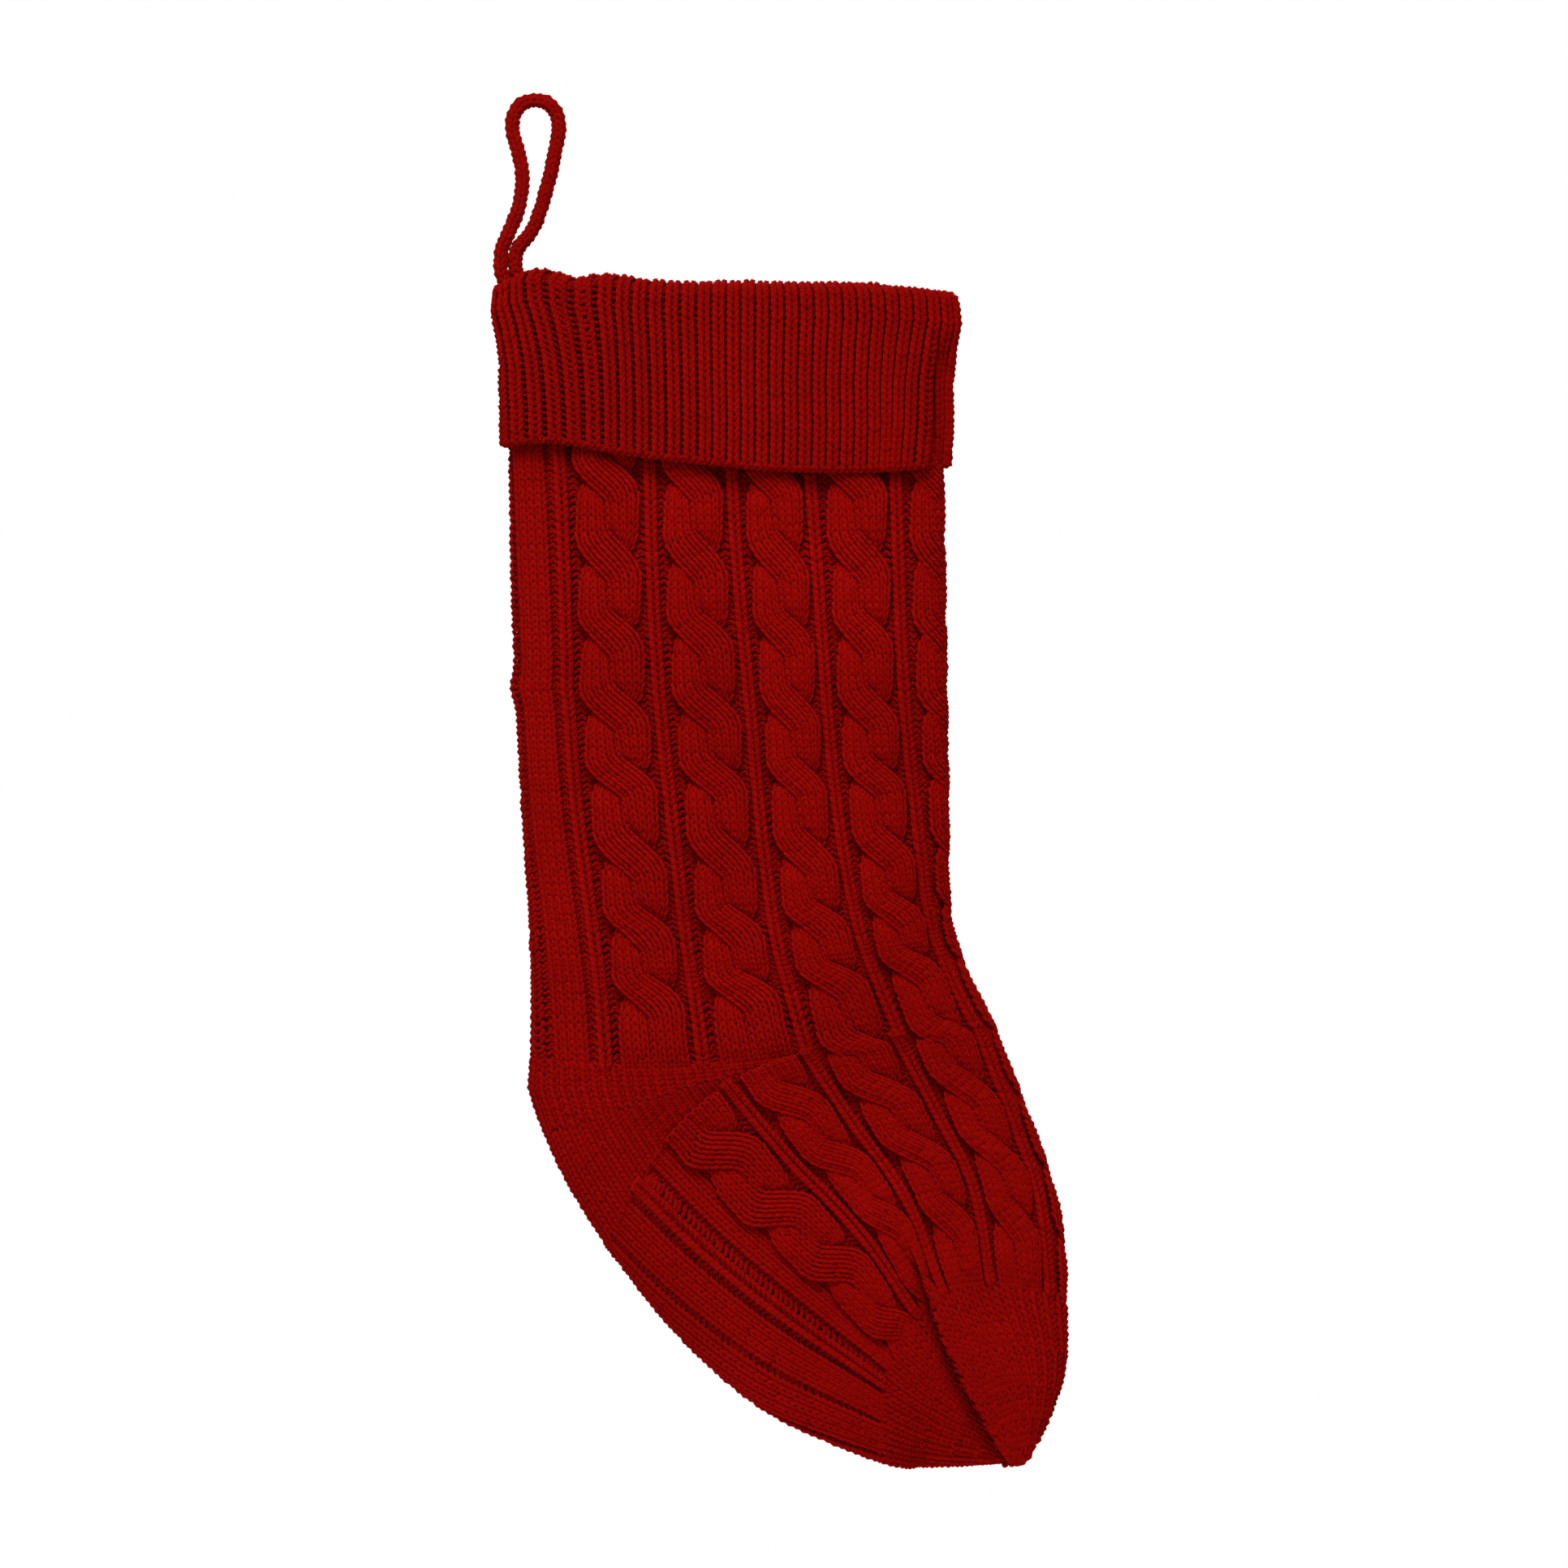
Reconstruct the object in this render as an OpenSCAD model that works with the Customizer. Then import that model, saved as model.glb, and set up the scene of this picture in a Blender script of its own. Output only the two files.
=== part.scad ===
// Knitted stocking that hangs by a cord loop from a hook.
// Millimetres, +Z up, +X towards the toe, front face towards -Y.
// The origin is the point inside the top of the loop where the hook bears.

/* [Stocking] */
// Length from the top of the cuff to the toe
stocking_length = 456; // [300:1:600]
// Greatest depth of the filled-out leg, front to back
leg_depth = 36; // [26:1:60]
// Thickness of the knitted wall
wall_t = 3.6; // [2:0.2:5]

/* [Cuff] */
// Thickness of the turned-down rib
cuff_t = 3.2; // [2:0.2:4]
// Space between the turned-down rib and the tube inside it
cuff_gap = 0.8; // [0.4:0.1:1.5]
// Radius of the chained edge at the foot of the cuff
edge_r = 1.3; // [0.8:0.1:1.6]

/* [Loop] */
// Diameter of the knitted cord
cord_d = 5.2; // [4:0.2:5.4]
// Distance from the swing axis to the round ends of the cord on each side of it
swing_gap = 3.4; // [3.2:0.1:4]
// Diameter of the thread that tacks the loop down
thread_d = 0.9; // [0.5:0.1:1]

/* [Hidden] */

nominal_length = 456;
size = stocking_length / nominal_length;
depth = leg_depth / 36;
around = 40;              // points around a section of the stocking
section_power = 2.5;      // 2 is an ellipse, more is squarer
cord_sides = 10;
knit_red = [0.45, 0.02, 0.02];
thread_red = [0.32, 0.01, 0.01];

// Sections of the stocking: back fold x, z, front fold x, z, half depth.
rib_foot = [-8.8, -132, 154, -134, 14.5];
leg_sections = [rib_foot, [-8, -200, 156, -196, 17], [-7, -260, 156, -252, 18],
                [-3, -320, 159, -300, 18.5], [-2, -366, 168, -332, 19]];
heel_sections = [[-2, -366, 168, -332, 19], [7, -399, 170, -338, 20], [26, -434, 175, -350, 19]];
foot_sections = [[26, -434, 175, -350, 19], [55, -468, 185, -376, 18], [94, -504, 197, -406, 17],
                 [133, -519, 202, -436, 16]];
toe_sections = [[133, -519, 202, -436, 16], [155, -520, 204, -464, 14], [170, -519.5, 198, -494, 9],
                [176, -519, 188, -508, 4]];
toe_tip = [180, -518];
cuff_sections = [[-15.5, -70, 161.5, -73, 16.5], [-16, -78, 162, -80, 17.5], [-13.5, -97, 159.5, -99, 18],
                 [-13, -127, 158.5, -134, 19]];
cuff_top = -64;           // height of the fold
sole_share = 0.56;        // share of the section's half round that the heel and sole take

// The loop: the middle line of the cord between its two round ends above the swing axis.
swing_z = -59;
loop_route = [[-13.2, -55.6], [-12, -52], [-9.5, -46], [-6.6, -39], [-5.2, -31], [-5.2, -24], [-6.6, -17],
              [-8.6, -10], [-8.8, -5], [-7, -0.5], [-4, 2], [0, 2.6], [4.4, 1.6], [7.6, -1.6], [8.8, -6],
              [8.6, -11], [7.4, -17], [6, -24], [4.2, -31], [2.2, -38], [-0.8, -46], [-5.4, -52],
              [-7.6, -55.6]];
end_top = swing_z - swing_gap;
back_end_route = [[-13.2, end_top], [-11.2, -67], [-6.4, -72], [-2.8, -77], [-2, -82], [-2, -87], [-2, -92]];
front_end_route = [[-7.6, end_top], [-4.8, -67], [1.2, -72], [5.2, -77], [6, -82], [6, -87], [6, -92]];
tack_heights = [-85.5, -89];
tack_x = [-2, 6];
tack_gap = 0.2;           // between the cord and the thread round it

// A smooth value between b and c, with a and d the values before and after them.
function smooth(a, b, c, d, t) =
    0.5 * (2 * b + (c - a) * t + (2 * a - 5 * b + 4 * c - d) * t * t + (3 * b - a - 3 * c + d) * t * t * t);

function item(list, i) = list[max(0, min(len(list) - 1, i))];

// The list with smooth steps between its items.
function refined(list, steps) =
    [for (i = [0 : len(list) - 2]) for (s = [0 : steps - 1])
        smooth(item(list, i - 1), list[i], list[i + 1], item(list, i + 2), s / steps),
     list[len(list) - 1]];

function signed_power(v, p) = sign(v) * pow(abs(v), p);

// Point number i of a section, drawn in by inset. Point 0 is the front fold, half way is the back fold.
function section_point(s, inset, i) =
    let (back = [s[0], s[1]] * size, front = [s[2], s[3]] * size,
         along = (front - back) / norm(front - back),
         half = norm(front - back) / 2 - inset,
         turn = 360 * i / around,
         across = signed_power(cos(turn), 2 / section_power) * half,
         out = signed_power(sin(turn), 2 / section_power) * (s[4] * size * depth - inset),
         middle = (back + front) / 2 + along * across)
    [middle[0], out, middle[1]];

// A section drawn in by t on every side, in its own plane.
function drawn_in(s, t) =
    let (across = [s[2] - s[0], s[3] - s[1]], pull = across / norm(across) * t / size)
    [s[0] + pull[0], s[1] + pull[1], s[2] - pull[0], s[3] - pull[1], s[4] - t / (size * depth)];

function section(s, inset, first = 0, last = around - 1) =
    [for (i = [first : last]) section_point(s, inset, i)];

function reversed(list) = [for (i = [len(list) - 1 : -1 : 0]) list[i]];

// Two triangles for a patch between two neighbouring loops of points.
function patch(a, b, c, d) = [[a, b, c], [a, c, d]];

// A closed band: every loop of points is joined to the next, and the last to the first.
module band(loops) {
    m = len(loops);
    n = len(loops[0]);
    faces = [for (k = [0 : m - 1]) for (i = [0 : n - 1])
        each patch(k * n + i, k * n + (i + 1) % n,
                   ((k + 1) % m) * n + (i + 1) % n, ((k + 1) % m) * n + i)];
    polyhedron([for (l = loops) each l], faces, convexity = 6);
}

// A tube of knitted wall through the sections.
module tube_wall(sections, t) {
    band(concat([for (s = reversed(sections)) section(s, 0)], [for (s = sections) section(s, t)]));
}

// A part of the tube's wall, from point first to point last of each section.
module part_wall(sections, t, first, last) {
    m = len(sections);
    n = last - first + 1;
    outer = [for (s = sections) each section(s, 0, first, last)];
    inner = [for (s = sections) each section(s, t, first, last)];
    skin = [for (k = [0 : m - 2]) for (i = [0 : n - 2])
        each patch(k * n + i, k * n + i + 1, (k + 1) * n + i + 1, (k + 1) * n + i)];
    sides = [for (k = [0 : m - 2])
        each concat(patch(k * n, (k + 1) * n, (m + k + 1) * n, (m + k) * n),
                    patch((k + 1) * n + n - 1, k * n + n - 1, (m + k) * n + n - 1, (m + k + 1) * n + n - 1))];
    ends = [for (i = [0 : n - 2])
        each concat(patch(i + 1, i, m * n + i, m * n + i + 1),
                    patch((m - 1) * n + i, (m - 1) * n + i + 1, (2 * m - 1) * n + i + 1, (2 * m - 1) * n + i))];
    turned = [for (f = skin) [f[2] + m * n, f[1] + m * n, f[0] + m * n]];
    polyhedron(concat(outer, inner), [for (f = concat(skin, turned, sides, ends)) reversed(f)], convexity = 8);
}

// A cord along a route in the plane y = 0, with round ends.
module cord(route, d) {
    path = refined(route, 2);
    n = len(path);
    way = [for (i = [0 : n - 1]) let (w = item(path, i + 1) - item(path, i - 1)) w / norm(w)];
    dome = [for (a = [80, 55, 28]) [sin(a), cos(a)]];
    rings = concat([for (q = dome) [path[0] - way[0] * q[0] * d / 2, way[0], q[1]]],
                   [for (i = [0 : n - 1]) [path[i], way[i], 1]],
                   [for (q = reversed(dome)) [path[n - 1] + way[n - 1] * q[0] * d / 2, way[n - 1], q[1]]]);
    m = len(rings);
    points = [for (r = rings) for (i = [0 : cord_sides - 1])
        let (a = 360 * i / cord_sides, out = cos(a) * r[2] * d / 2)
        [(r[0][0] + r[1][1] * out), sin(a) * r[2] * d / 2, r[0][1] - r[1][0] * out]];
    skin = [for (k = [0 : m - 2]) for (i = [0 : cord_sides - 1])
        each patch(k * cord_sides + i, (k + 1) * cord_sides + i,
                   (k + 1) * cord_sides + (i + 1) % cord_sides, k * cord_sides + (i + 1) % cord_sides)];
    start = [for (i = [0 : cord_sides - 1]) i];
    finish = [for (i = [cord_sides - 1 : -1 : 0]) (m - 1) * cord_sides + i];
    polyhedron(points, concat(skin, [start, finish]), convexity = 6);
}

module hang_loop() {
    color(knit_red) cord(loop_route * size, cord_d);
}

module loop_ends() {
    color(knit_red) {
        cord(back_end_route * size, cord_d);
        cord(front_end_route * size, cord_d);
    }
}

module loop_tacks() {
    ring_r = cord_d / 2 + thread_d / 2 + tack_gap;
    color(thread_red) for (x = tack_x) for (z = tack_heights)
        translate([x * size, 0, z * size]) rotate_extrude($fn = 32) translate([ring_r, 0]) circle(d = thread_d, $fn = 16);
}

// The rounded fold where the rib turns over, from the outside of the cuff to the inside of the tube.
module cuff_fold() {
    outer = cuff_sections[0];
    full = cuff_t + cuff_gap + wall_t;
    lift = (cuff_top - outer[1] - 0.6);
    profile = [[0, 0], [0.4, 0.45], [1.4, 0.85], [full / 2, 1], [full - 1.4, 0.85], [full - 0.4, 0.45], [full, 0]];
    color(knit_red) band([for (p = profile)
        section([outer[0], outer[1] + p[1] * lift, outer[2], outer[3] + p[1] * lift, outer[4]], p[0])]);
}

module cuff_turn_down() {
    color(knit_red) tube_wall(refined(cuff_sections, 3), cuff_t);
}

// The chained cast-off stitches along the cuff's lower edge.
module cuff_cast_off_edge() {
    foot = cuff_sections[len(cuff_sections) - 1];
    drop = edge_r + 0.1;
    color(knit_red) band([for (a = [0 : 45 : 315])
        section([foot[0], foot[1] - drop + edge_r * sin(a), foot[2], foot[3] - drop + edge_r * sin(a), foot[4]],
                cuff_t / 2 - edge_r * cos(a))]);
}

// The inner layer follows the inside of the turned-down layer, and narrows a little more to the leg.
module rib_band() {
    upper = [for (i = [0 : 2]) drawn_in(cuff_sections[i], cuff_t + cuff_gap)];
    color(knit_red) tube_wall(refined(concat(upper, [rib_foot]), 3), wall_t);
}

module leg_tube() {
    color(knit_red) tube_wall(refined(leg_sections, 3), wall_t);
}

// Points of a section from which the heel and the sole begin and end.
sole_first = round(around / 2 * (1 - sole_share));
sole_last = around - sole_first;

module heel_pocket() {
    color(knit_red) part_wall(refined(heel_sections, 4), wall_t, sole_first, sole_last);
}

module instep_panel() {
    sections = concat(refined(heel_sections, 4), [for (s = refined(foot_sections, 3)) if (s != foot_sections[0]) s]);
    color(knit_red) part_wall(sections, wall_t, -sole_first, sole_first);
}

module sole_panel() {
    color(knit_red) part_wall(refined(foot_sections, 3), wall_t, sole_first, sole_last);
}

// The toe closes to a point, inside and outside.
module toe_cap() {
    outer = refined(toe_sections, 3);
    m = len(outer);
    inner_count = m - 4;
    tip = [toe_tip[0], 0, toe_tip[1]] * size;
    inner_last = outer[inner_count - 1];
    inner_tip = [(inner_last[0] + inner_last[2]) / 2 + 3, 0, (inner_last[1] + inner_last[3]) / 2 - 4] * size;
    loops = concat([for (k = [inner_count - 1 : -1 : 0]) section(outer[k], wall_t)], [for (s = outer) section(s, 0)]);
    total = len(loops) * around;
    skin = [for (k = [0 : len(loops) - 2]) for (i = [0 : around - 1])
        each patch(k * around + i, (k + 1) * around + i,
                   (k + 1) * around + (i + 1) % around, k * around + (i + 1) % around)];
    closing = [for (i = [0 : around - 1])
        each [[total, i, (i + 1) % around],
              [total + 1, total - around + (i + 1) % around, total - around + i]]];
    color(knit_red) polyhedron(concat([for (l = loops) each l], [inner_tip, tip]), concat(skin, closing), convexity = 8);
}

// The yarn end that is drawn tight through the last stitches and knotted.
module toe_closing_stitch() {
    color(thread_red) translate([toe_tip[0] + 1.2, 0, toe_tip[1] - 1.2] * size) sphere(r = 1.6, $fn = 24);
}

hang_loop();
loop_ends();
loop_tacks();
cuff_fold();
cuff_turn_down();
cuff_cast_off_edge();
rib_band();
leg_tube();
heel_pocket();
instep_panel();
sole_panel();
toe_cap();
toe_closing_stitch();
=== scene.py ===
"""Looks of the hanging stocking. Every stitch is a loop of yarn, laid on the shape of the frame."""
import math

import bpy
import numpy as np
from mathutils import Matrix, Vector


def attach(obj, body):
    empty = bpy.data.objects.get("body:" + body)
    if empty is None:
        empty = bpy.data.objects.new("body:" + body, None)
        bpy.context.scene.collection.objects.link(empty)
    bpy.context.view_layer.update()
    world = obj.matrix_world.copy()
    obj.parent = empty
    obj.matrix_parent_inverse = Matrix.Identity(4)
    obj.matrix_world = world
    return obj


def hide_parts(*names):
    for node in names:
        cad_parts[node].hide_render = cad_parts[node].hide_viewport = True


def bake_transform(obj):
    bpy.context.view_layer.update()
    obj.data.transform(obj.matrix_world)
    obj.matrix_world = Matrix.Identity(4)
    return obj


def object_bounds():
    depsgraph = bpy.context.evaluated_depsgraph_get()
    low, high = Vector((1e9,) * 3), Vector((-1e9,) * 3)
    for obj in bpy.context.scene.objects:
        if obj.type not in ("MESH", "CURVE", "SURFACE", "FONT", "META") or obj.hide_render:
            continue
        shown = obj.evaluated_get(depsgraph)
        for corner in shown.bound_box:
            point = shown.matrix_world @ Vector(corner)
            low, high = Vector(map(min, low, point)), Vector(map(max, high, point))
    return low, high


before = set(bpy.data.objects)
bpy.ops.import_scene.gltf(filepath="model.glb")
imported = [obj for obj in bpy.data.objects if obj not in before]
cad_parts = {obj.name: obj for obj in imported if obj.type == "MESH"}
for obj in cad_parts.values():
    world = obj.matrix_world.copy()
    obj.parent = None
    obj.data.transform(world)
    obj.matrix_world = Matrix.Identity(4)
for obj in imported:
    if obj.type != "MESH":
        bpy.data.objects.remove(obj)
cad_low, cad_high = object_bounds()

# ---------------------------------------------------------------- sizes, in millimetres at the nominal height
NOMINAL_HEIGHT = 526.7
MM = (cad_high.z - cad_low.z) / NOMINAL_HEIGHT     # metres for one of this script's millimetres

POINTS = 8       # points of yarn in a stitch
SIDES = 5                             # sides of a strand of yarn
ROW = 2.48                            # height of a row

rng = np.random.default_rng(12)


# ---------------------------------------------------------------- small sums
def smooth_step(x):
    x = np.clip(x, 0, 1)
    return x * x * (3 - 2 * x)


def along(table, q):
    """Smooth curve through the table's rows at q, counted in rows."""
    table = np.asarray(table, float)
    last = len(table) - 1
    k = np.clip(np.floor(q).astype(int), 0, last - 1)
    s = (q - k)[..., None]
    a, b = table[np.clip(k - 1, 0, last)], table[k]
    c, d = table[k + 1], table[np.clip(k + 2, 0, last)]
    square = 2 * a - 5 * b + 4 * c - d
    cube = 3 * b - a - 3 * c + d
    return 0.5 * (2 * b + (c - a) * s + square * s ** 2 + cube * s ** 3)


def unit(v):
    return v / np.maximum(np.linalg.norm(v, axis=-1, keepdims=True), 1e-9)


# ---------------------------------------------------------------- the round of a section
SECTION_POWER = 2.5       # 2 is an ellipse, and more is squarer
USUAL_HALF_WIDTH, USUAL_HALF_DEPTH = 82, 17


def half_section():
    """Share of the way round from back fold to front fold, with the shares across and of the depth."""
    turn = np.linspace(math.pi, 0, 1201)
    power = 2 / SECTION_POWER
    across = np.sign(np.cos(turn)) * np.abs(np.cos(turn)) ** power
    out = np.abs(np.sin(turn)) ** power
    steps = np.hypot(np.diff(across) * USUAL_HALF_WIDTH, np.diff(out) * USUAL_HALF_DEPTH)
    way = np.concatenate([[0], np.cumsum(steps)])
    return way / way[-1], (1 + across) / 2, out


WAY, ACROSS, OUT = half_section()


def way_of(across):
    return np.interp(across, ACROSS, WAY)


# The chart of the knitting goes once round: ribs stand at 0 to 9 with a cable between each two, and a plain
# band with ladders lies at the back.
ROUND = 10.5              # the chart's whole way round
T_MID = 0.57              # share across a row where it bends
SKIN = 1.5                # how far the middle of the yarn lies inside the outline
SAMPLE_C, SAMPLE_ROW = 0.02, 0.2    # steps that a normal is measured over
WOBBLE, WOBBLE_ROWS = 0.02, 11      # how far the wales wander, in chart panels, and over how many rows
BULGE_OUT, BULGE_Z, BULGE_HALF = 2.0, -221, 5.5     # a small bulge of the back fold
BULGE_FADE = 8            # how soon the bulge is gone round the section


class Surface:
    """A surface with a chart on it. facing says which way round the chart's two directions go."""
    facing = -1

    def frame_at(self, c, row):
        """Point and outward normal."""
        p = self.point(c, row)
        dc, dr = SAMPLE_C, SAMPLE_ROW
        normal = np.cross(self.point(c + dc, row) - self.point(c - dc, row),
                          self.point(c, row + dr) - self.point(c, row - dr))
        return p, unit(self.facing * normal + 1e-5 * np.sign(p) * [0, 1, 0])


class Shape(Surface):
    """A stretch of the stocking between two rows. Each station is: back fold x, z, a point at T_MID x, z,
    front fold x, z, the row's lean there in degrees, half depth, and the share across of ribs 0 to 4."""

    def __init__(self, stations, knots):
        table = [list(s[:8]) + [float(way_of(g)) for g in s[8]] for s in stations]
        self.table = np.array(table, float)
        self.knots = knots                 # the row of knitting at each station

    def station(self, row):
        """Runs straight on beyond the first and last rows."""
        table, knots = self.table, self.knots
        too_early = np.clip(row - knots[0], None, 0)[..., None]
        too_late = np.clip(row - knots[-1], 0, None)[..., None]
        before = too_early * (table[1] - table[0]) / (knots[1] - knots[0])
        after = too_late * (table[-1] - table[-2]) / (knots[-1] - knots[-2])
        return along(table, np.interp(row, knots, np.arange(len(knots)))) + before + after

    def way(self, c, guides):
        c = np.mod(c, ROUND)
        k = np.clip(np.floor(c).astype(int), 0, 3)
        low = np.take_along_axis(guides, k[..., None], -1)[..., 0]
        high = np.take_along_axis(guides, k[..., None] + 1, -1)[..., 0]
        front = low + (c - k) * (high - low)
        first, fourth = guides[..., 0], guides[..., 4]
        back = fourth + (c - 4) / (ROUND - 4) * (first + 2 - fourth)
        return np.where(c < 4, front, back)

    def flat(self, t, row):
        """x and z at the share t across a row."""
        s = self.station(row)
        back, mid, fore = s[..., 0:2], s[..., 2:4], s[..., 4:6]
        lean = np.radians(s[..., 6])
        pull = np.linalg.norm(fore - back, axis=-1)[..., None] * np.stack([np.cos(lean), np.sin(lean)], -1)
        left = np.clip((T_MID - t) / T_MID, 0, None)[..., None]
        right = np.clip((t - T_MID) / (1 - T_MID), 0, None)[..., None]
        p = mid - T_MID * pull * left + (back - mid + T_MID * pull) * left ** 2
        return p + (1 - T_MID) * pull * right + (fore - mid - (1 - T_MID) * pull) * right ** 2

    def point(self, c, row, inset=SKIN):
        s = self.station(row)
        c = c + WOBBLE * np.sin(row / WOBBLE_ROWS + 6 * math.pi * c / ROUND)
        w = np.mod(self.way(c, s[..., 8:13]), 2)
        side = np.where(w <= 1, -1.0, 1.0)
        w = np.where(w <= 1, w, 2 - w)
        drawn = inset / np.hypot(s[..., 4] - s[..., 0], s[..., 5] - s[..., 1])
        p = self.flat(drawn + np.interp(w, WAY, ACROSS) * (1 - 2 * drawn), row)
        bulge = BULGE_OUT * np.exp(-((p[..., 1] - BULGE_Z) / BULGE_HALF) ** 2) * (1 - w) ** BULGE_FADE
        y = side * (s[..., 7] - inset) * np.interp(w, WAY, OUT)
        return np.stack([p[..., 0] - bulge, y, p[..., 1]], -1)


# ---------------------------------------------------------------- shapes of the knitted parts
# shares of the way across the front face where ribs 0 to 4 stand: at the cuff, the heel, the sole and the toe
TOP_RIBS = (0.107, 0.319, 0.516, 0.694, 0.891)
LOW_RIBS = (0.155, 0.375, 0.60, 0.80, 0.965)
SOLE_RIBS = (0.117, 0.40, 0.60, 0.80, 0.965)
TOE_RIBS = (0.21, 0.49, 0.62, 0.80, 0.965)


def between(a, b, share):
    """Rib places at this share of the way from a to b."""
    return [x + (y - x) * share for x, y in zip(a, b)]


HEEL_TOP = [-1.8, -364.5, 99, -361.5, 175.5, -350, 10, 19]
FOOT_TOP = [27.5, -435.6, 99, -361.5, 175.5, -350, 14, 19]
FOOT_END = [133, -518.6, 151.6, -455, 203.6, -456, 35, 16]

LEG_ROWS, FOOT_ROWS, TOE_ROWS = 99, 44, 27
leg = Shape([
    [-10.5, -120, 83.3, -120, 154, -120, 0, 12.2, TOP_RIBS],
    [-8.2, -200, 85.2, -200, 155.8, -200, 0, 17, between(TOP_RIBS, LOW_RIBS, 0.2)],
    [-6.4, -262, 86.6, -262, 156.8, -261, 0, 18, between(TOP_RIBS, LOW_RIBS, 0.5)],
    [-3.4, -312, 89.6, -312, 157.6, -304, 4, 18.5, between(TOP_RIBS, LOW_RIBS, 0.8)],
    [-2.4, -338, 94, -336, 163, -325, 7, 18.8, between(TOP_RIBS, LOW_RIBS, 0.9)],
    HEEL_TOP + [LOW_RIBS]], knots=[0, 33, 58, 78, 89, LEG_ROWS])
foot = Shape([
    FOOT_TOP + [SOLE_RIBS],
    [53, -466.6, 116, -388, 189, -387, 25, 18, between(SOLE_RIBS, TOE_RIBS, 0.3)],
    [86.6, -498.5, 136, -418, 199.5, -421, 28, 17, between(SOLE_RIBS, TOE_RIBS, 0.65)],
    FOOT_END + [TOE_RIBS],
    [149, -519.8, 168, -479, 203.2, -479, 28, 14.5, TOE_RIBS],
    [164, -519.7, 178.5, -496, 197.5, -496, 20, 10.5, TOE_RIBS],
    [174, -518.8, 182, -510, 189.5, -507.5, 12, 5.5, TOE_RIBS],
    [178, -518, 180.5, -515.2, 183, -513.8, 10, 2.5, TOE_RIBS]],
    knots=[0, 15, 29, FOOT_ROWS, FOOT_ROWS + 10, FOOT_ROWS + 18, FOOT_ROWS + 24, FOOT_ROWS + TOE_ROWS])


class Heel(Surface):
    """A pocket of short rows. Rows lie side by side from the heel line to the gore, and from the gore to the
    foot line. The gore runs from the back fold to the point where the two lines meet. Wales are counted from
    the back fold."""
    UPPER, LOWER, WALES = 12, 19, 27       # rows above the gore, rows below it, and wales on each side
    GORE = np.array([3.9, -392.0])
    EDGE = np.array([[-1.8, -364.5], [-2.4, -374], [0.6, -383.5], [3.9, -392], [7.9, -401.6], [12.3, -411],
                     [18.4, -421.5], [27.5, -435.6]])
    EDGE_ROWS = np.array([0, 4, 8, 12, 16, 20, 25, 31])
    CORNERS = [0, 3, 7]                    # the points of EDGE at the heel line, the gore and the foot line
    INWARD = np.array([0.94, 0.34])        # the way in from the heel's edge

    def share(self, wale):
        """Share of the way from the back fold to where the lines meet."""
        reach = float(way_of(T_MID))
        return np.clip(np.interp(np.abs(wale) / self.WALES * reach, WAY, ACROSS) / T_MID, 0, 0.995)

    def wales_in(self, row):
        t = 1 - row / self.UPPER if row < self.UPPER else 1 - (self.UPPER + self.LOWER - row) / self.LOWER
        return int(round(float(way_of(T_MID * t)) / float(way_of(T_MID)) * self.WALES))

    def point(self, wale, row, inset=SKIN):
        t = self.share(wale)
        top = leg.flat(T_MID * t, np.full_like(t, LEG_ROWS))
        foot_line = foot.flat(T_MID * t, np.zeros_like(t))
        gore = self.GORE + (foot.table[0, 2:4] - self.GORE) * t[..., None]
        down = np.clip(row / (self.UPPER * (1 - t)), -0.5, 1.5)[..., None]
        up = np.clip((self.UPPER + self.LOWER - row) / (self.LOWER * (1 - t)), -0.5, 1.5)[..., None]
        upper = top + (gore - top) * down
        lower = foot_line + (gore - foot_line) * up
        p = np.where((row < self.UPPER)[..., None], upper, lower)
        edge = np.stack([np.interp(row, self.EDGE_ROWS, self.EDGE[:, k]) for k in (0, 1)], -1)
        corner_rows = [0, self.UPPER, self.UPPER + self.LOWER]
        line = np.stack([np.interp(row, corner_rows, self.EDGE[self.CORNERS, k]) for k in (0, 1)], -1)
        p = p + (edge - line) * (1 - t[..., None]) ** 3
        p = p + self.INWARD * (inset * (1 - t))[..., None]
        depth = leg.table[-1, 7] - inset
        y = -np.sign(wale) * depth * np.interp(T_MID * t, ACROSS, OUT)
        return np.stack([p[..., 0], y, p[..., 1]], -1)


heel = Heel()


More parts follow.
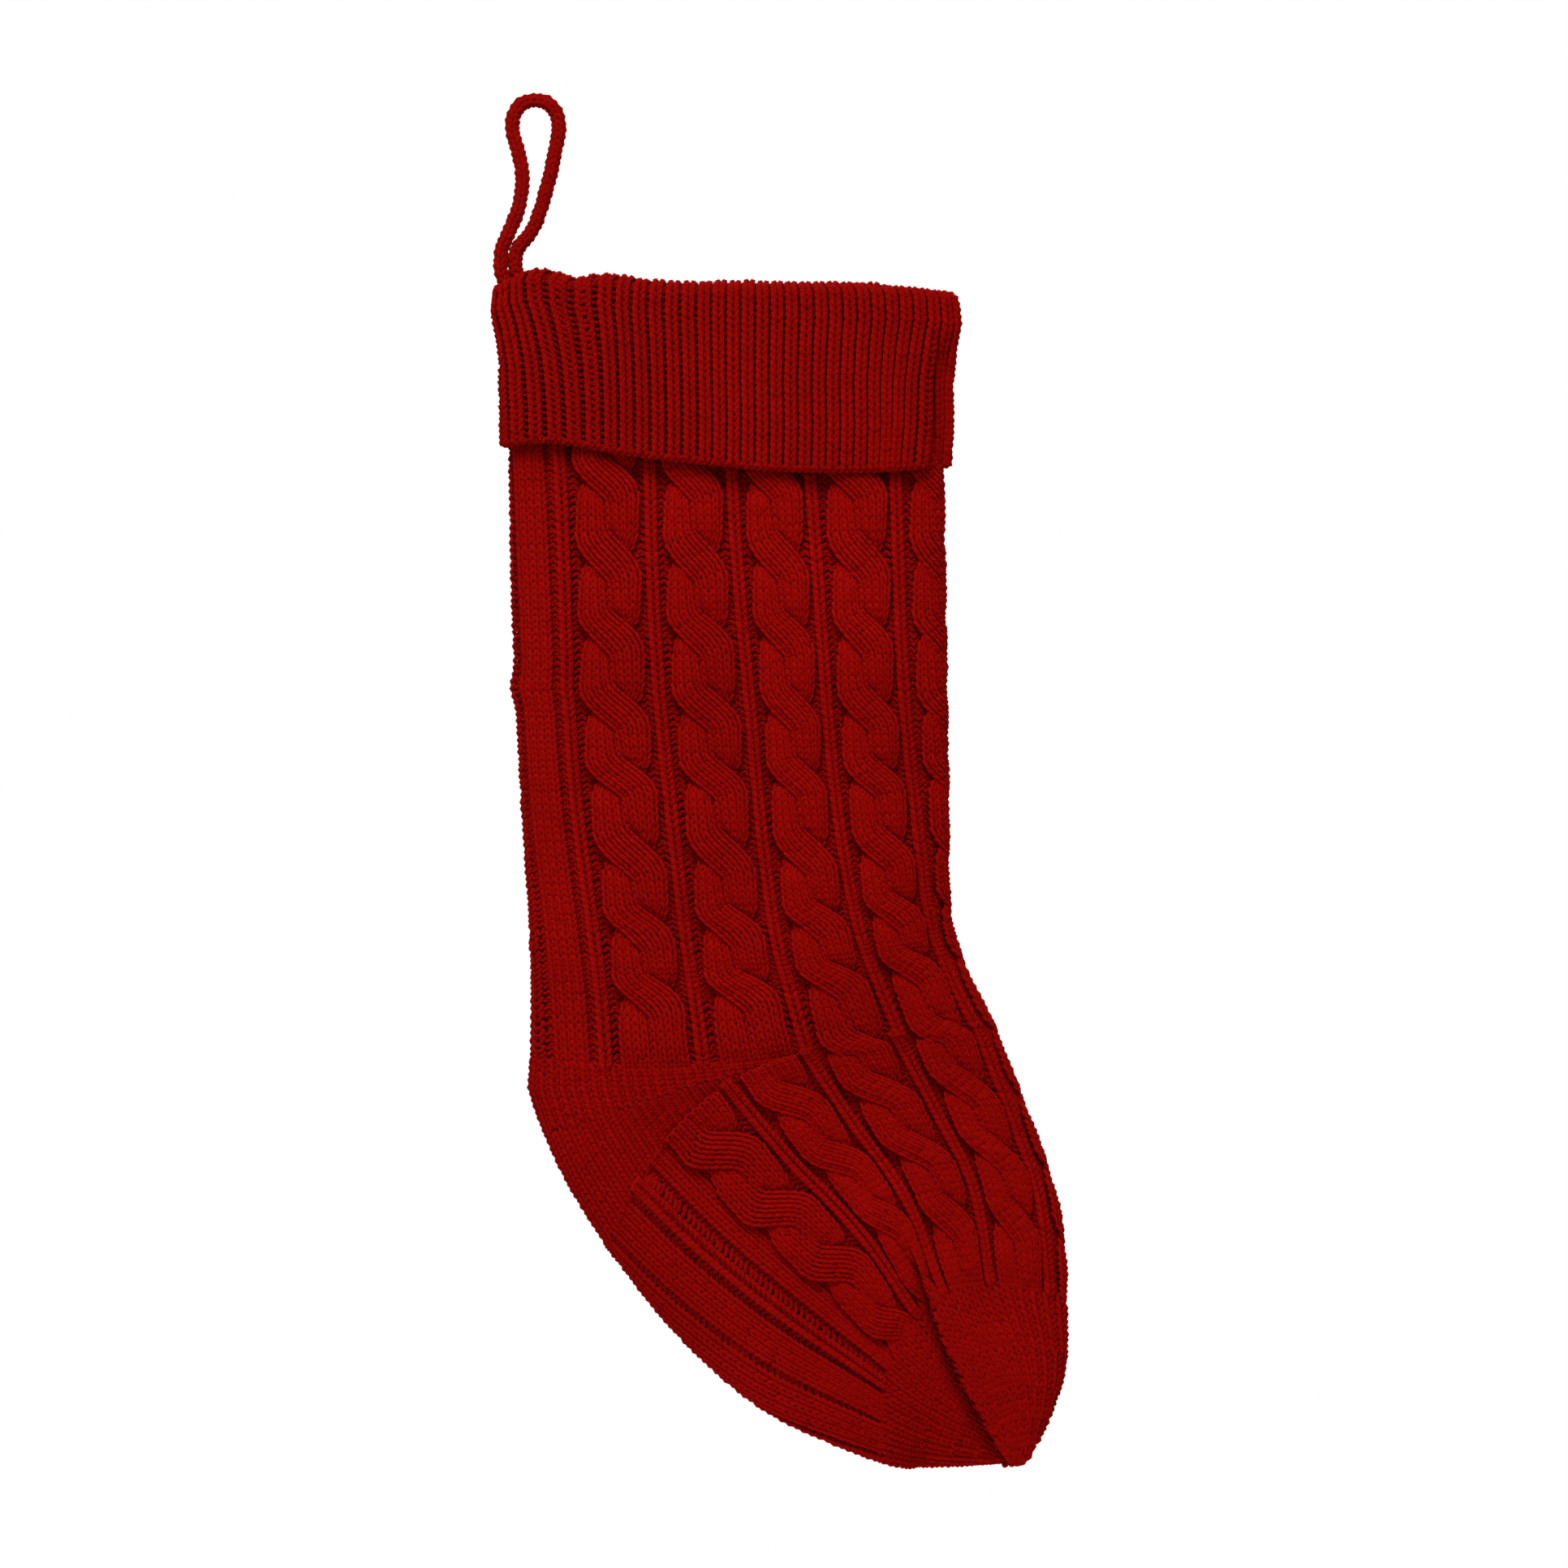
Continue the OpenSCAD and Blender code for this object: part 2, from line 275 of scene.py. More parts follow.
class Cuff(Surface):
    """The turned-down rib, from its lower edge up, over the fold and down inside. Ribs are counted from the
    back fold, and RIBS of them cross each face."""
    facing = 1
    RIBS = 31
    OUTER, FOLD, INNER = 25, 6, 24         # rows on the outside, over the fold and inside
    FOLD_R = 3.2
    YARN_OVER = 1.6                        # how far the yarn stands above the middle of the fold
    FOLD_FLATTER = 0.4                     # how much lower the fold is than a half circle
    # how far the ribs lean to the back fold, in shares across, with the lean's middle and half width
    TOP_LEAN, TOP_LEAN_AT, TOP_LEAN_HALF = 0.036, 0.11, 0.09
    FOOT_LEAN, FOOT_LEAN_AT, FOOT_LEAN_HALF = 0.018, 0.92, 0.06
    # the front face is pressed in at its right end, below DENT_TOP of the way up
    DENT, DENT_FROM, DENT_OVER, DENT_TOP, DENT_RISE = 0.75, 0.945, 0.03, 0.86, 0.3
    # the back face stands a little higher between two shares across
    BACK_HIGHER, BACK_FROM, BACK_TO, BACK_OVER = 1.8, 0.4, 0.92, 0.1
    # shares of the way up, with the back fold's x, the front fold's x and the half depth
    SIDES_UP = np.array([[0, -13.1, 158.6, 20.5], [0.25, -13.3, 159.3, 19.8], [0.5, -13.6, 159.0, 18.8],
                         [0.72, -14.9, 160.2, 18], [0.88, -16.6, 161.8, 17.4], [1.0, -15.6, 161.0, 16.5]])
    # shares of the ribs counted, with the share of the way round that they take
    SPACING = np.array([[0, 0.19, 0.39, 0.65, 1], [0, 0.24, 0.445, 0.685, 1]])
    # shares across, with the height of the lower edge and of the fold there
    EDGES = np.array([[0, -128.2, -66.0], [0.05, -127.6, -62.6], [0.10, -127.2, -62.4],
                      [0.16, -128.4, -65.2], [0.22, -130.4, -63.6], [0.32, -133.0, -66.2],
                      [0.45, -135.4, -67.2], [0.62, -138.0, -68.0], [0.8, -138.4, -68.3],
                      [0.92, -137.2, -69.0], [1.0, -136.0, -70.4]])

    def point(self, rib, row, inset=SKIN):
        j = np.mod(rib, 2 * self.RIBS)
        side = np.where(j <= self.RIBS, -1.0, 1.0)
        j = np.where(j <= self.RIBS, j, 2 * self.RIBS - j) / self.RIBS
        w = np.interp(j, *self.SPACING)
        v = np.clip(row / self.OUTER, 0, 1)
        t = np.interp(w, WAY, ACROSS)
        t = t - self.TOP_LEAN * v ** 2 * np.exp(-((t - self.TOP_LEAN_AT) / self.TOP_LEAN_HALF) ** 2)
        t = t - self.FOOT_LEAN * (1 - v) * np.exp(-((t - self.FOOT_LEAN_AT) / self.FOOT_LEAN_HALF) ** 2)
        dent = smooth_step((t - self.DENT_FROM) / self.DENT_OVER)
        dent = dent * smooth_step((self.DENT_TOP - v) / self.DENT_RISE) * np.where(side < 0, self.DENT, 0.0)
        turn = np.clip((row - self.OUTER) / self.FOLD, 0, 1) * math.pi
        below = np.clip(row - self.OUTER - self.FOLD, 0, None) * ROW
        inset = inset + self.FOLD_R * (1 - np.cos(turn))
        back = np.interp(v, self.SIDES_UP[:, 0], self.SIDES_UP[:, 1]) + inset
        fore = np.interp(v, self.SIDES_UP[:, 0], self.SIDES_UP[:, 2]) - inset
        depth = np.interp(v, self.SIDES_UP[:, 0], self.SIDES_UP[:, 3]) - inset
        low = along(self.EDGES, np.interp(t, self.EDGES[:, 0], np.arange(len(self.EDGES))))
        top = low[..., 2] - self.FOLD_R - self.YARN_OVER
        higher = smooth_step((t - self.BACK_FROM) / self.BACK_OVER)
        higher = higher * smooth_step((self.BACK_TO - t) / self.BACK_OVER)
        top = top + np.where(side > 0, self.BACK_HIGHER, 0.0) * higher
        z = low[..., 1] * (1 - v) + top * v + (self.FOLD_R - self.FOLD_FLATTER) * np.sin(turn) - below
        y = side * depth * np.interp(t, ACROSS, OUT) * (1 - dent)
        return np.stack([back + (fore - back) * t, y, z], -1)


cuff = Cuff()


class Cord(Surface):
    """A round knitted cord along a route in the plane y = 0, with WALES stitches round it."""
    WALES = 4
    RADIUS = 1.75                          # from the cord's middle to the middle of its yarn
    FINE = 40                              # points to measure the route by, for each of its own

    def __init__(self, route):
        fine = along(route, np.linspace(0, len(route) - 1, self.FINE * len(route)))
        self.way = np.concatenate([[0], np.cumsum(np.linalg.norm(np.diff(fine, axis=0), axis=1))])
        self.line = fine
        self.rows = int(round(self.way[-1] / ROW))

    def middle(self, row):
        s = row / self.rows * self.way[-1]
        x, z = (np.interp(s, self.way, self.line[:, k]) for k in (0, 1))
        return np.stack([x, 0 * s, z], -1)

    def point(self, c, row):
        ahead = unit(self.middle(row + 0.5) - self.middle(row - 0.5))
        out = np.stack([0 * row, np.ones_like(row), 0 * row], -1)
        aside = np.cross(out, ahead)
        turn = 2 * math.pi * c[..., None] / self.WALES
        return self.middle(row) + self.RADIUS * (np.cos(turn) * out + np.sin(turn) * aside)


# ---------------------------------------------------------------- yarn
END_SIZE = 0.35           # how thick a strand is at its ends


class Yarn:
    """Gathers strands of yarn, and makes one mesh of them."""

    def __init__(self):
        self.points, self.twist, self.tone, self.quads, self.caps, self.count = [], [], [], [], [], 0

    def add(self, centre, normal, wide, thick, tone):
        """centre and normal are strands x points x 3, and tone is strands x points. wide and thick are the
        strand's half sizes."""
        strands, n = centre.shape[:2]
        way = np.empty_like(centre)
        way[:, 1:-1] = centre[:, 2:] - centre[:, :-2]
        way[:, 0], way[:, -1] = centre[:, 1] - centre[:, 0], centre[:, -1] - centre[:, -2]
        way = unit(way)
        side = unit(np.cross(way, normal))
        up = np.cross(side, way)
        ends = np.ones(n)
        ends[0] = ends[-1] = END_SIZE
        wide, thick = ((ends * size)[None, :, None, None] for size in (wide, thick))
        angle = 2 * math.pi * np.arange(SIDES) / SIDES
        ring = (centre[:, :, None] + side[:, :, None] * (np.cos(angle)[:, None] * wide)
                + up[:, :, None] * (np.sin(angle)[:, None] * thick))
        length = np.concatenate([np.zeros((strands, 1)),
                                 np.cumsum(np.linalg.norm(np.diff(centre, axis=1), axis=-1), axis=1)], 1)
        twist = np.stack(np.broadcast_arrays(np.cos(angle)[None, None], np.sin(angle)[None, None],
                                             length[:, :, None]), -1)
        start = self.count + np.arange(strands)[:, None, None] * n * SIDES
        k = start + np.arange(n - 1)[None, :, None] * SIDES + np.arange(SIDES)[None, None]
        nxt = start + np.arange(n - 1)[None, :, None] * SIDES + (np.arange(SIDES)[None, None] + 1) % SIDES
        self.quads.append(np.stack([k, nxt, nxt + SIDES, k + SIDES], -1).reshape(-1, 4))
        first = self.count + np.arange(strands)[:, None] * n * SIDES
        self.caps.append(first + np.arange(SIDES)[None, ::-1])
        self.caps.append(first + (n - 1) * SIDES + np.arange(SIDES)[None])
        self.points.append(ring.reshape(-1, 3))
        self.twist.append(twist.reshape(-1, 3))
        self.tone.append(np.repeat(tone.reshape(-1), SIDES))
        self.count += strands * n * SIDES

    def mesh(self, name, material):
        quads, caps = np.concatenate(self.quads), np.concatenate(self.caps)
        me = bpy.data.meshes.new(name)
        me.vertices.add(self.count)
        me.vertices.foreach_set("co", (np.concatenate(self.points) * MM).astype(np.float32).ravel())
        me.loops.add(quads.size + caps.size)
        me.loops.foreach_set("vertex_index", np.concatenate([quads.ravel(), caps.ravel()]).astype(np.int32))
        me.polygons.add(len(quads) + len(caps))
        starts = np.concatenate([np.arange(len(quads)) * 4, quads.size + np.arange(len(caps)) * SIDES])
        me.polygons.foreach_set("loop_start", starts.astype(np.int32))
        me.polygons.foreach_set("use_smooth", np.ones(len(starts), bool))
        me.attributes.new("twist", "FLOAT_VECTOR", "POINT").data.foreach_set(
            "vector", np.concatenate(self.twist).astype(np.float32).ravel())
        me.attributes.new("tone", "FLOAT", "POINT").data.foreach_set(
            "value", np.concatenate(self.tone).astype(np.float32))
        me.update(calc_edges=True)
        me.validate()
        me.materials.append(material)
        ob = bpy.data.objects.new(name, me)
        bpy.context.scene.collection.objects.link(ob)
        return ob


# How a loop of yarn lies in its stitch, in shares of the stitch and in millimetres.
LEG_SWAY = 0.27          # how far a loop's legs lean out
LOOP_REACH = 0.80        # how far a loop reaches up and down from its row, in rows
ARCH = 0.62              # how far its legs stand before its ends
KNIT, PURL = 1.0, -1.0
TUCK = 0.9               # how far the ends of a row are tucked in
PINCH = 0.15             # how much thinner the yarn is where loops pass through each other
LEVEL = 0.3              # how far each side of its middle a stitch keeps its height
UNEVEN_ROW, UNEVEN_HEIGHT = 0.07, 0.12    # how much stitches differ, in rows and in millimetres


def stitches(yarn, shape, edges, signs, reliefs, rows, wide=1.0, thick=0.82, bold=1.0, move=None,
             raise_by=None, waves=True, pitch=1.0, tuck=TUCK, pinch=PINCH, sway=LEG_SWAY, level=LEVEL):
    """Rows of stitches between the chart places in edges. signs says knit or purl for each wale, and reliefs
    how high it stands. bold makes the knit wales' yarn wider. move and raise_by shift the yarn along the
    chart and outwards, from the row and the wale."""
    n = len(signs)
    t = np.arange(n * POINTS + 1) / POINTS
    part = t % 1
    wale = np.clip(np.floor(t).astype(int), 0, n - 1)
    place = np.interp(t + sway * np.sin(4 * math.pi * part), np.arange(n + 1), edges)
    middles = np.arange(n) + 0.5
    plateau = np.concatenate([middles - level, middles + level])
    order = np.argsort(plateau)
    sign = np.interp(t, plateau[order], np.concatenate([signs, signs])[order])
    relief = np.interp(t, plateau[order], np.concatenate([reliefs, reliefs])[order])
    rise = -sign * ARCH * np.cos(4 * math.pi * part) + relief
    rise[[0, -1]] -= tuck
    rows = np.asarray(rows, float)[:, None]
    uneven = rng.normal(0, 1, (len(rows), n))
    row = rows - shape.facing * pitch * LOOP_REACH * np.cos(2 * math.pi * part)[None]
    row = row + UNEVEN_ROW * uneven[:, wale]
    c = np.broadcast_to(place[None], row.shape)
    height = rise[None] + UNEVEN_HEIGHT * rng.normal(0, 1, (len(rows), n))[:, wale]
    if raise_by is not None:
        height = height + raise_by(row, t[None])
    if move is not None:
        aside, down = move(row, t[None])
        c, row = c + aside, row + down
    p, normal = shape.frame_at(c, row)
    if waves:
        height = height + swell(p)
    tone = np.broadcast_to(uneven[:, wale], row.shape)
    wider = (1 + (bold - 1) * (sign + 1) / 2) * (1 - pinch * np.cos(2 * math.pi * part) ** 4)
    yarn.add(p + normal * height[..., None], normal, wide * wider, thick * wider, tone)


def swell(p):
    """Slow unevenness of the soft fabric, in millimetres."""
    x, z = p[..., 0], p[..., 2]
    return 0.5 * np.sin(x / 23 + z / 37) + 0.4 * np.sin(x / 17 - z / 29 + 1.3) + crease(p)


# The toe is folded over itself along a line: the fabric ahead of the line lies higher, with a hollow further
# on, and the fabric behind it lies lower. It shows less on the back face.
CREASE = np.array([[138, -420], [147, -444], [154, -467], [164, -488], [172, -503], [180, -515]], float)
CREASE_TOP, CREASE_FOOT, CREASE_START, CREASE_END = -428, -521, 25, 10     # heights, and how far it fades in
RIDGE, RIDGE_WIDE = 6.0, 15
DIP, DIP_WIDE = -4.0, 5
HOLLOW, HOLLOW_AT, HOLLOW_HALF, HOLLOW_FOOT, HOLLOW_FADE = -2.8, 19, 6.5, -482, 25
BACK_SHARE = 0.35


def crease(p):
    x, z = p[..., 0], p[..., 2]
    ahead = x - np.interp(-z, -CREASE[:, 1], CREASE[:, 0])
    strength = smooth_step((CREASE_TOP - z) / CREASE_START) * smooth_step((z - CREASE_FOOT) / CREASE_END)
    ridge = np.where(ahead > 0, RIDGE * np.exp(-ahead / RIDGE_WIDE), DIP * np.exp(ahead / DIP_WIDE))
    hollow = HOLLOW * np.exp(-((ahead - HOLLOW_AT) / HOLLOW_HALF) ** 2)
    hollow = hollow * smooth_step((z - HOLLOW_FOOT) / HOLLOW_FADE)
    return strength * np.where(p[..., 1] < 0, 1, BACK_SHARE) * (ridge + hollow)


# ---------------------------------------------------------------- cables, ribs and ladders
CABLE_FROM, CABLE_TO = 0.165, 0.865      # a cable's edges, in shares of its panel
CROSS_EVERY = 11         # rows from one crossing to the next
CROSS_HALF = 0.30        # share of CROSS_EVERY that a strand takes to reach the middle
STRAND = 4               # wales in each half of a cable
PANEL = 34.0             # usual width from rib to rib
STRAND_LEAN = 0.8        # how much of its course's slope a strand's stitches take
OVER_WIDER, UNDER_NARROWER, NEAR_POWER = 0.30, 0.25, 1.6     # how a strand's width changes near a crossing
STRAND_BASE, STRAND_ROUND, STRAND_DROP = 0.3, 1.6, 0.5       # a strand's height, and how round its section is
FLAT_ROWS = 5            # rows over which a cable goes flat at its end
# A strand's height along its way: it lies over the other at 0, under it at 1, and comes back over at 2. It
# dives slowly and comes up quickly.
STRAND_PLACES = [-0.5, -0.25, 0, 0.25, 0.5, 0.65, 0.8, 0.92, 1.0, 1.08, 1.2, 1.35, 1.5]
STRAND_HEIGHTS = [2.1, 2.4, 2.5, 2.7, 2.6, 1.8, 0.0, -2.5, -3.2, -1.7, 0.5, 1.7, 2.1]


def cable(yarn, shape, panel, rows, row_shift, first_cross, last_cross, span=(CABLE_FROM, CABLE_TO),
          strength=1.0, flatten=True):
    """A rope of two strands that cross over every CROSS_EVERY rows, always the same way. Before first_cross
    and after last_cross the strands lie side by side. flatten makes it go flat at its end."""
    middle = panel + (span[0] + span[1]) / 2
    half = (span[1] - span[0]) / 4
    for turn in (0, 1):
        def course(row):
            way = np.clip((row + row_shift) / CROSS_EVERY, first_cross - 0.5, last_cross + 0.499)
            crossing = np.round(way)
            local = way - crossing
            over = np.mod(crossing + turn, 2) == 0
            gone = np.clip((local + CROSS_HALF) / (2 * CROSS_HALF), 0, 1)
            place = np.where(over, 1, -1) * (2 * smooth_step(gone) - 1)
            climb = np.where(over, 1, -1) * 6 * gone * (1 - gone) / CROSS_HALF
            slope = climb * half * PANEL / (CROSS_EVERY * ROW)
            return place, STRAND_LEAN * slope, over, local

        def move(row, t):
            place, slope, over, local = course(row)
            near = np.cos(math.pi * np.clip(local, -0.5, 0.5)) ** NEAR_POWER
            offset = (t - STRAND / 2) / (STRAND / 2) * half
            cosine = 1 / np.sqrt(1 + slope ** 2)
            wider = np.where(over, 1.0 + OVER_WIDER * near, 1.0 - UNDER_NARROWER * near)
            aside = middle + place * half + offset * (cosine * wider - 1)
            return aside, -offset * PANEL * slope * cosine / ROW

        def raise_by(row, t):
            place, slope, over, local = course(row)
            across = (t - STRAND / 2) / (STRAND / 2)
            fade = (smooth_step((rows[1] - row) / FLAT_ROWS) if flatten else 1.0) * strength
            height = np.interp(np.where(over, local, 1 + local), STRAND_PLACES, STRAND_HEIGHTS)
            return STRAND_BASE + fade * (STRAND_ROUND * (1 - across ** 2) + height - STRAND_DROP)

        # rows are even along the strand, so there are more of them where it leans
        fine = np.arange(rows[0], rows[1], 0.05)
        stretch = np.sqrt(1 + course(fine)[1] ** 2)
        gone = np.cumsum(stretch) * 0.05
        places = np.interp(np.arange(0.5, gone[-1]), gone, fine)
        pitch = 1 / np.sqrt(1 + course(places)[1] ** 2)
        edges = np.linspace(-half, half, STRAND + 1)
        stitches(yarn, shape, edges, [KNIT] * STRAND, [0.0] * STRAND, places, wide=0.9, move=move,
                 raise_by=raise_by, pitch=pitch[:, None])


# a rib stands between two purl ladders, which go on under the cables' edges
RIB_EDGES = np.array([-0.33, -0.25, -0.18, -0.072, 0.072, 0.18, 0.26, 0.34])
RIB_SIGNS = [PURL, PURL, PURL, KNIT, PURL, PURL, PURL]
RIB_RELIEFS = [-2.0, -1.8, -1.5, 1.0, -1.5, -1.8, -2.0]
BACK_BAND = np.array([0.18, 0.27, 0.365, 0.46, 0.555, 0.65, 0.85, 0.945, 1.04, 1.135, 1.23, 1.32])


def rib(yarn, shape, place, first, last, pitch=1.0):
    stitches(yarn, shape, place + RIB_EDGES, RIB_SIGNS, RIB_RELIEFS, np.arange(first, last, pitch),
             bold=1.35, pitch=pitch, sway=0.23)


SOLE_BAND = np.array([0.16, 0.245, 0.33, 0.415, 0.5, 0.57, 0.66, 0.75, 0.84, 0.93,
                      1.0, 1.085, 1.17, 1.255, 1.34])


def back_band(yarn, shape, edges, first, last, pitch=1.0):
    """Plain knit with two purl ladders in it, from the last rib round to the first."""
    middle = len(edges) - 1 - 2 * (STRAND + 1)
    signs = [KNIT] * STRAND + [PURL] + [KNIT] * middle + [PURL] + [KNIT] * STRAND
    reliefs = [0.2] * STRAND + [-1.1] + [0.5] * middle + [-1.1] + [0.2] * STRAND
    stitches(yarn, shape, 9 + edges, signs, reliefs, np.arange(first, last, pitch), pitch=pitch)


def plain(yarn, shape, edges, rows, tuck=TUCK):
    wales = len(edges) - 1
    stitches(yarn, shape, edges, [KNIT] * wales, [0.3] * wales, rows, wide=1.1, tuck=tuck)


# ---------------------------------------------------------------- materials
PLIES = 3.0
PLY_TURNS = 2.6           # how fast the plies turn, in radians a millimetre
# shares of the tone that come from patches of the fabric, fibres, the stitch's own tone, and painted light
# and shade along the plies
PATCH_TONE, FIBRE_TONE, STITCH_TONE, PLY_PAINTED_SHADE = 0.55, 0.5, 0.035, 0.05
# shares of the bump that come from the plies and the hairs along them
PLY_BUMP, HAIR_BUMP = 0.7, 2.0


def material(name, colour, shade):
    """Soft yarn: plies that twist along the strand, with painted shade between them, fibres over them, and
    slow changes of tone.
    """
    mat = bpy.data.materials.new(name)
    mat.use_nodes = True
    nodes, links = mat.node_tree.nodes, mat.node_tree.links
    shader = nodes["Principled BSDF"]
    shader.inputs["Roughness"].default_value = 0.95
    shader.inputs["Specular IOR Level"].default_value = 0.0
    shader.inputs["Sheen Weight"].default_value = 0.08
    shader.inputs["Sheen Roughness"].default_value = 0.5
    shader.inputs["Sheen Tint"].default_value = (0.9, 0.05, 0.04, 1)

    def node(kind, **values):
        made = nodes.new(kind)
        for key, value in values.items():
            setattr(made, key, value)
        return made

    def maths(kind, a, b):
        made = node("ShaderNodeMath", operation=kind)
        for socket, value in zip(made.inputs, (a, b)):
            if hasattr(value, "links"):
                links.new(value, socket)
            else:
                socket.default_value = value
        return made.outputs[0]

    twist = node("ShaderNodeAttribute", attribute_name="twist")
    parts = node("ShaderNodeSeparateXYZ")
    links.new(twist.outputs["Vector"], parts.inputs[0])
    angle = maths("ARCTAN2", parts.outputs[1], parts.outputs[0])
    phase = maths("ADD", maths("MULTIPLY", angle, PLIES), maths("MULTIPLY", parts.outputs[2], PLY_TURNS))
    ply = maths("SINE", phase, 0.0)
    tone = node("ShaderNodeAttribute", attribute_name="tone")
    place = node("ShaderNodeTexCoord")
    patches = node("ShaderNodeTexNoise")
    patches.inputs["Scale"].default_value = 18
    patches.inputs["Detail"].default_value = 3
    links.new(place.outputs["Object"], patches.inputs["Vector"])
    fibres = node("ShaderNodeTexNoise")
    fibres.inputs["Scale"].default_value = 2600
    fibres.inputs["Detail"].default_value = 4
    fibres.inputs["Roughness"].default_value = 0.7
    links.new(place.outputs["Object"], fibres.inputs["Vector"])

    light = maths("MULTIPLY", patches.outputs["Fac"], PATCH_TONE)
    light = maths("ADD", light, maths("MULTIPLY", fibres.outputs["Fac"], FIBRE_TONE))
    light = maths("ADD", light, maths("MULTIPLY", tone.outputs["Fac"], STITCH_TONE))
    # painted light and shade along the twisted plies: lighter on their crowns, darker in the grooves between
    # them
    light = maths("ADD", light, maths("MULTIPLY", ply, PLY_PAINTED_SHADE))
    ramp = node("ShaderNodeValToRGB")
    ramp.color_ramp.elements[0].position = 0.25
    ramp.color_ramp.elements[1].position = 0.85
    ramp.color_ramp.elements[0].color = (*shade, 1)
    ramp.color_ramp.elements[1].color = (*colour, 1)
    links.new(light, ramp.inputs[0])
    links.new(ramp.outputs["Color"], shader.inputs["Base Color"])

    strands = node("ShaderNodeCombineXYZ")
    links.new(phase, strands.inputs[0])
    links.new(maths("MULTIPLY", parts.outputs[2], 0.7), strands.inputs[1])
    links.new(tone.outputs["Fac"], strands.inputs[2])
    hairs = node("ShaderNodeTexNoise")
    hairs.inputs["Scale"].default_value = 2.2
    hairs.inputs["Detail"].default_value = 3
    links.new(strands.outputs[0], hairs.inputs["Vector"])
    hair = maths("MULTIPLY", hairs.outputs["Fac"], HAIR_BUMP)
    height = maths("ADD", maths("MULTIPLY", ply, PLY_BUMP), hair)
    height = maths("ADD", height, fibres.outputs["Fac"])
    bump = node("ShaderNodeBump")
    bump.inputs["Strength"].default_value = 0.7
    bump.inputs["Distance"].default_value = 0.00035
    links.new(height, bump.inputs["Height"])
    links.new(bump.outputs["Normal"], shader.inputs["Normal"])
    return mat


cable_yarn = material("cable_yarn", (0.166, 0.0014, 0.0009), (0.100, 0.0007, 0.0004))
rib_yarn = material("rib_yarn", (0.150, 0.0012, 0.0007), (0.088, 0.0006, 0.0003))
plain_yarn = material("plain_yarn", (0.160, 0.0013, 0.0009), (0.096, 0.0006, 0.0004))
cord_yarn = material("cord_yarn", (0.140, 0.0014, 0.0009), (0.08, 0.0006, 0.0003))
thread = material("thread", (0.110, 0.0012, 0.0009), (0.07, 0.0006, 0.0004))
# painted shade: a darker red for the sheet behind the stitches, standing for the shade in the gaps between
# loops
painted_gap_shade = material("painted_gap_shade", (0.12, 0.0009, 0.0005), (0.07, 0.0005, 0.0003))


# ---------------------------------------------------------------- the leg, the instep and the sole
def piece(yarn, name, mat, node):
    """One piece of knitting, which rides on the stocking and stands for a CAD node."""
    ob = yarn.mesh(name, mat)
    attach(ob, "stocking")
    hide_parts(node)


HEEL_CABLES = (0, 1, 7, 8)      # the leg's cables that end at the heel, and the sole's cables
LAST_AT_HEEL, NO_LAST = 8, 99   # the last crossing of these cables, and of those that go on
FOLD_CABLE, FOLD_STRENGTH = 4, 0.32    # the cable that goes round the front fold is pressed flatter
SOLE_STRENGTH = 0.8
SOLE_PITCH = 0.85               # the sole has more rows than the instep
SOLE_SHIFT = 3                  # how many rows sooner than CROSS_EVERY the sole's first crossing comes
SOLE_SPANS = {0: (0.36, 0.90), 8: (0.10, 0.64)}     # the outer cables lie away from the sole's ladders
FILLING = np.array([0.17, 0.24, 0.31, 0.38, 0.45, 0.52, 0.59])    # plain wales beside those cables
FILLING_RELIEFS = [0.3, 0.3, -0.6, -1.9, -2.1, -2.1]


def strength_of(k):
    return FOLD_STRENGTH if k == FOLD_CABLE else 1.0


def leg_cables():
    for k in range(9):
        yarn = Yarn()
        in_heel = k in HEEL_CABLES
        cable(yarn, leg, k, (0, LEG_ROWS), 0, 1, LAST_AT_HEEL if in_heel else NO_LAST,
              strength=strength_of(k), flatten=in_heel)
        piece(yarn, f"leg_cable_{k + 1}", cable_yarn, "leg_tube")


def leg_ribs():
    for place in range(0, 10, 2):
        yarn = Yarn()
        rib(yarn, leg, place, 0, LEG_ROWS)
        rib(yarn, leg, place + 1, 0, LEG_ROWS)
        piece(yarn, f"leg_ribs_{place + 1}_{place + 2}", cable_yarn, "leg_tube")


def leg_back_band():
    yarn = Yarn()
    back_band(yarn, leg, BACK_BAND, 0, LEG_ROWS)
    piece(yarn, "leg_back_band", cable_yarn, "leg_tube")


def instep_cables():
    for name, panels in (("instep_cables_front", (2, 3, 4)), ("instep_cables_back", (5, 6))):
        yarn = Yarn()
        for k in panels:
            cable(yarn, foot, k, (0, FOOT_ROWS), LEG_ROWS, 0, 12, strength=strength_of(k))
        piece(yarn, name, cable_yarn, "instep_panel")


def instep_ribs():
    yarn = Yarn()
    for place in range(2, 8):
        rib(yarn, foot, place, 0, FOOT_ROWS)
    piece(yarn, "instep_ribs", cable_yarn, "instep_panel")


def sole_cables():
    yarn = Yarn()
    for k in HEEL_CABLES:
        span = SOLE_SPANS.get(k, (CABLE_FROM, CABLE_TO))
        cable(yarn, foot, k, (0, FOOT_ROWS), SOLE_SHIFT, 1, 4, span, SOLE_STRENGTH)
    piece(yarn, "sole_cables", cable_yarn, "sole_panel")


def sole_filling():
    """Plain wales between the sole's ladders and its outer cables, on both faces."""
    yarn = Yarn()
    signs = [KNIT] * len(FILLING_RELIEFS)
    rows = np.arange(0, FOOT_ROWS, SOLE_PITCH)
    stitches(yarn, foot, FILLING, signs, FILLING_RELIEFS, rows, pitch=SOLE_PITCH)
    stitches(yarn, foot, 9 - FILLING[::-1], signs, FILLING_RELIEFS[::-1], rows, pitch=SOLE_PITCH)
    piece(yarn, "sole_filling", cable_yarn, "sole_panel")


